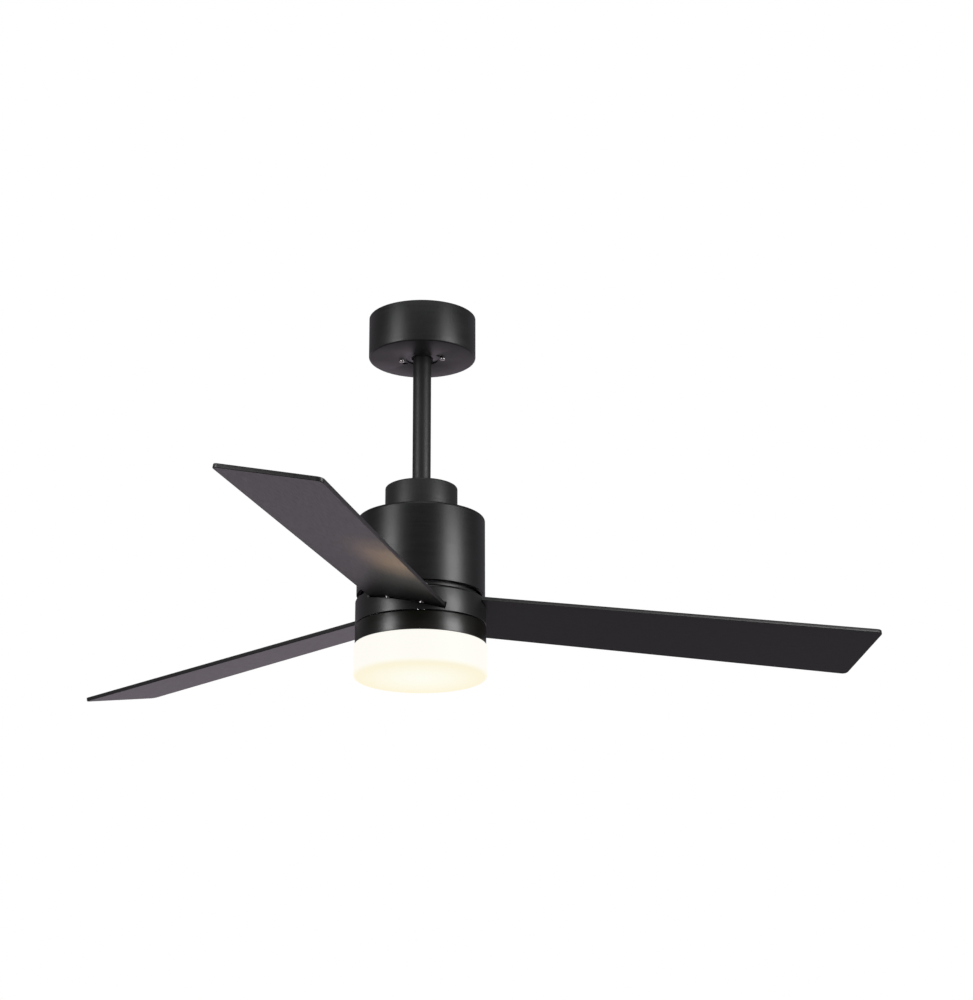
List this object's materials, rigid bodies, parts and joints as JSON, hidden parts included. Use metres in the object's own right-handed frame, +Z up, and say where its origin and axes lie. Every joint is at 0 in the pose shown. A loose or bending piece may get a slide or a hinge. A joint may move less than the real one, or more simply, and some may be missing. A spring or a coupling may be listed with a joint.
{
  "type": "ceiling fan with light",
  "caption": "Downrod ceiling fan with flat pitched blades and a round opal light below the motor.",
  "frame": {"origin": "middle of the ceiling bracket's two screw slots, on the ceiling plane", "axes": "+Z up into the ceiling along the downrod's axis, +X along the line of the two ceiling screws"},
  "size_m": [1.1937, 1.0873, 0.522],
  "materials": {
    "black_metal": "satin black powder coat",
    "black_gloss_metal": "semi-gloss black paint",
    "white_metal": "white painted reflector sheet",
    "zinc_steel": "zinc plated sheet",
    "screw_steel": "bright zinc plate",
    "bright_steel": "ground steel",
    "lamination": "stacked sheet steel",
    "magnet": "sintered magnet",
    "cast_metal": "die cast",
    "copper": "enamelled copper wire",
    "brass": "pressed brass",
    "nylon": "moulded nylon",
    "black_plastic": "moulded plastic",
    "white_plastic": "moulded plastic",
    "wire_cover": "insulated wire",
    "felt": "pressed felt",
    "board_white": "white solder mask",
    "emitter": "phosphor coated emitter",
    "blade_board": "charcoal laminate on board",
    "opal": "opal diffuser, lit from inside"
  },
  "bodies": {
    "ceiling_mount": {"ceiling_bracket": "zinc_steel", "ball_seat": "nylon", "canopy": "black_metal", "canopy_screws": "screw_steel", "receiver_case": "white_plastic", "receiver_lid": "white_plastic", "terminal_block": "nylon", "receiver_leads": "wire_cover", "ground_screw": "screw_steel"},
    "swing_liner": {"seat_liner": "nylon"},
    "hanging_frame": {"hanger_ball": "black_plastic", "ball_pin": "screw_steel", "ball_set_screw": "screw_steel", "downrod": "black_metal", "lead_sleeve": "wire_cover", "lead_plug": "white_plastic", "coupler": "cast_metal", "clevis_pin": "screw_steel", "clevis_clip": "screw_steel", "coupler_set_screws": "screw_steel", "housing_screws": "screw_steel", "motor_housing": "black_metal", "shaft_lock_nut": "screw_steel", "motor_shaft": "bright_steel", "stator_core": "lamination", "stator_coils": "copper", "stator_leads": "wire_cover", "top_bearing_inner": "bright_steel", "low_bearing_inner": "bright_steel", "light_pan": "black_gloss_metal", "pan_nuts": "screw_steel", "light_leads": "wire_cover", "led_driver": "white_plastic", "tray_standoffs": "screw_steel", "led_tray": "white_metal", "tray_screws": "screw_steel", "led_board": "board_white", "led_emitters": "emitter"},
    "cover": {"coupling_cover": "black_metal", "cover_felt": "felt"},
    "rotor": {"bell_upper": "cast_metal", "bell_lower": "cast_metal", "bell_screws": "screw_steel", "rotor_magnets": "magnet", "top_bearing_outer": "bright_steel", "low_bearing_outer": "bright_steel", "blade_carrier": "black_metal", "carrier_screws": "screw_steel", "hub_ring": "black_metal", "ring_screws": "screw_steel", "blade_arms": "cast_metal", "blade_screws": "screw_steel", "blade_1": "blade_board", "blade_2": "blade_board", "blade_3": "blade_board"},
    "bearing_cages": {"top_bearing_cage": "brass", "top_bearing_balls": "bright_steel", "low_bearing_cage": "brass", "low_bearing_balls": "bright_steel"},
    "light_shade": {"shade": "opal"}
  },
  "joints": [
    {"name": "swing_about_x", "type": "hinge", "parent": "ceiling_mount", "child": "swing_liner", "pos_m": [0, 0, -0.036], "axis": [1, 0, 0], "range_deg": [-3, 3]},
    {"name": "swing_about_y", "type": "hinge", "parent": "swing_liner", "child": "hanging_frame", "pos_m": [0, 0, -0.036], "axis": [0, 1, 0], "range_deg": [-3, 3]},
    {"name": "rotor_spin", "type": "hinge", "parent": "hanging_frame", "child": "rotor", "pos_m": [0, 0, -0.42], "axis": [0, 0, 1], "continuous": true},
    {"name": "bearing_cage_spin", "type": "hinge", "parent": "hanging_frame", "child": "bearing_cages", "pos_m": [0, 0, -0.36], "axis": [0, 0, 1], "continuous": true},
    {"name": "cover_lift", "type": "slide", "parent": "hanging_frame", "child": "cover", "axis": [0, 0, 1], "range_m": [0, 0.15]},
    {"name": "shade_twist", "type": "hinge", "parent": "hanging_frame", "child": "light_shade", "pos_m": [0, 0, -0.48], "axis": [0, 0, 1], "range_deg": [0, 20]}
  ],
  "couplings": [
    {"joint": "bearing_cage_spin", "follows": "rotor_spin", "ratio": 0.6184}
  ]
}
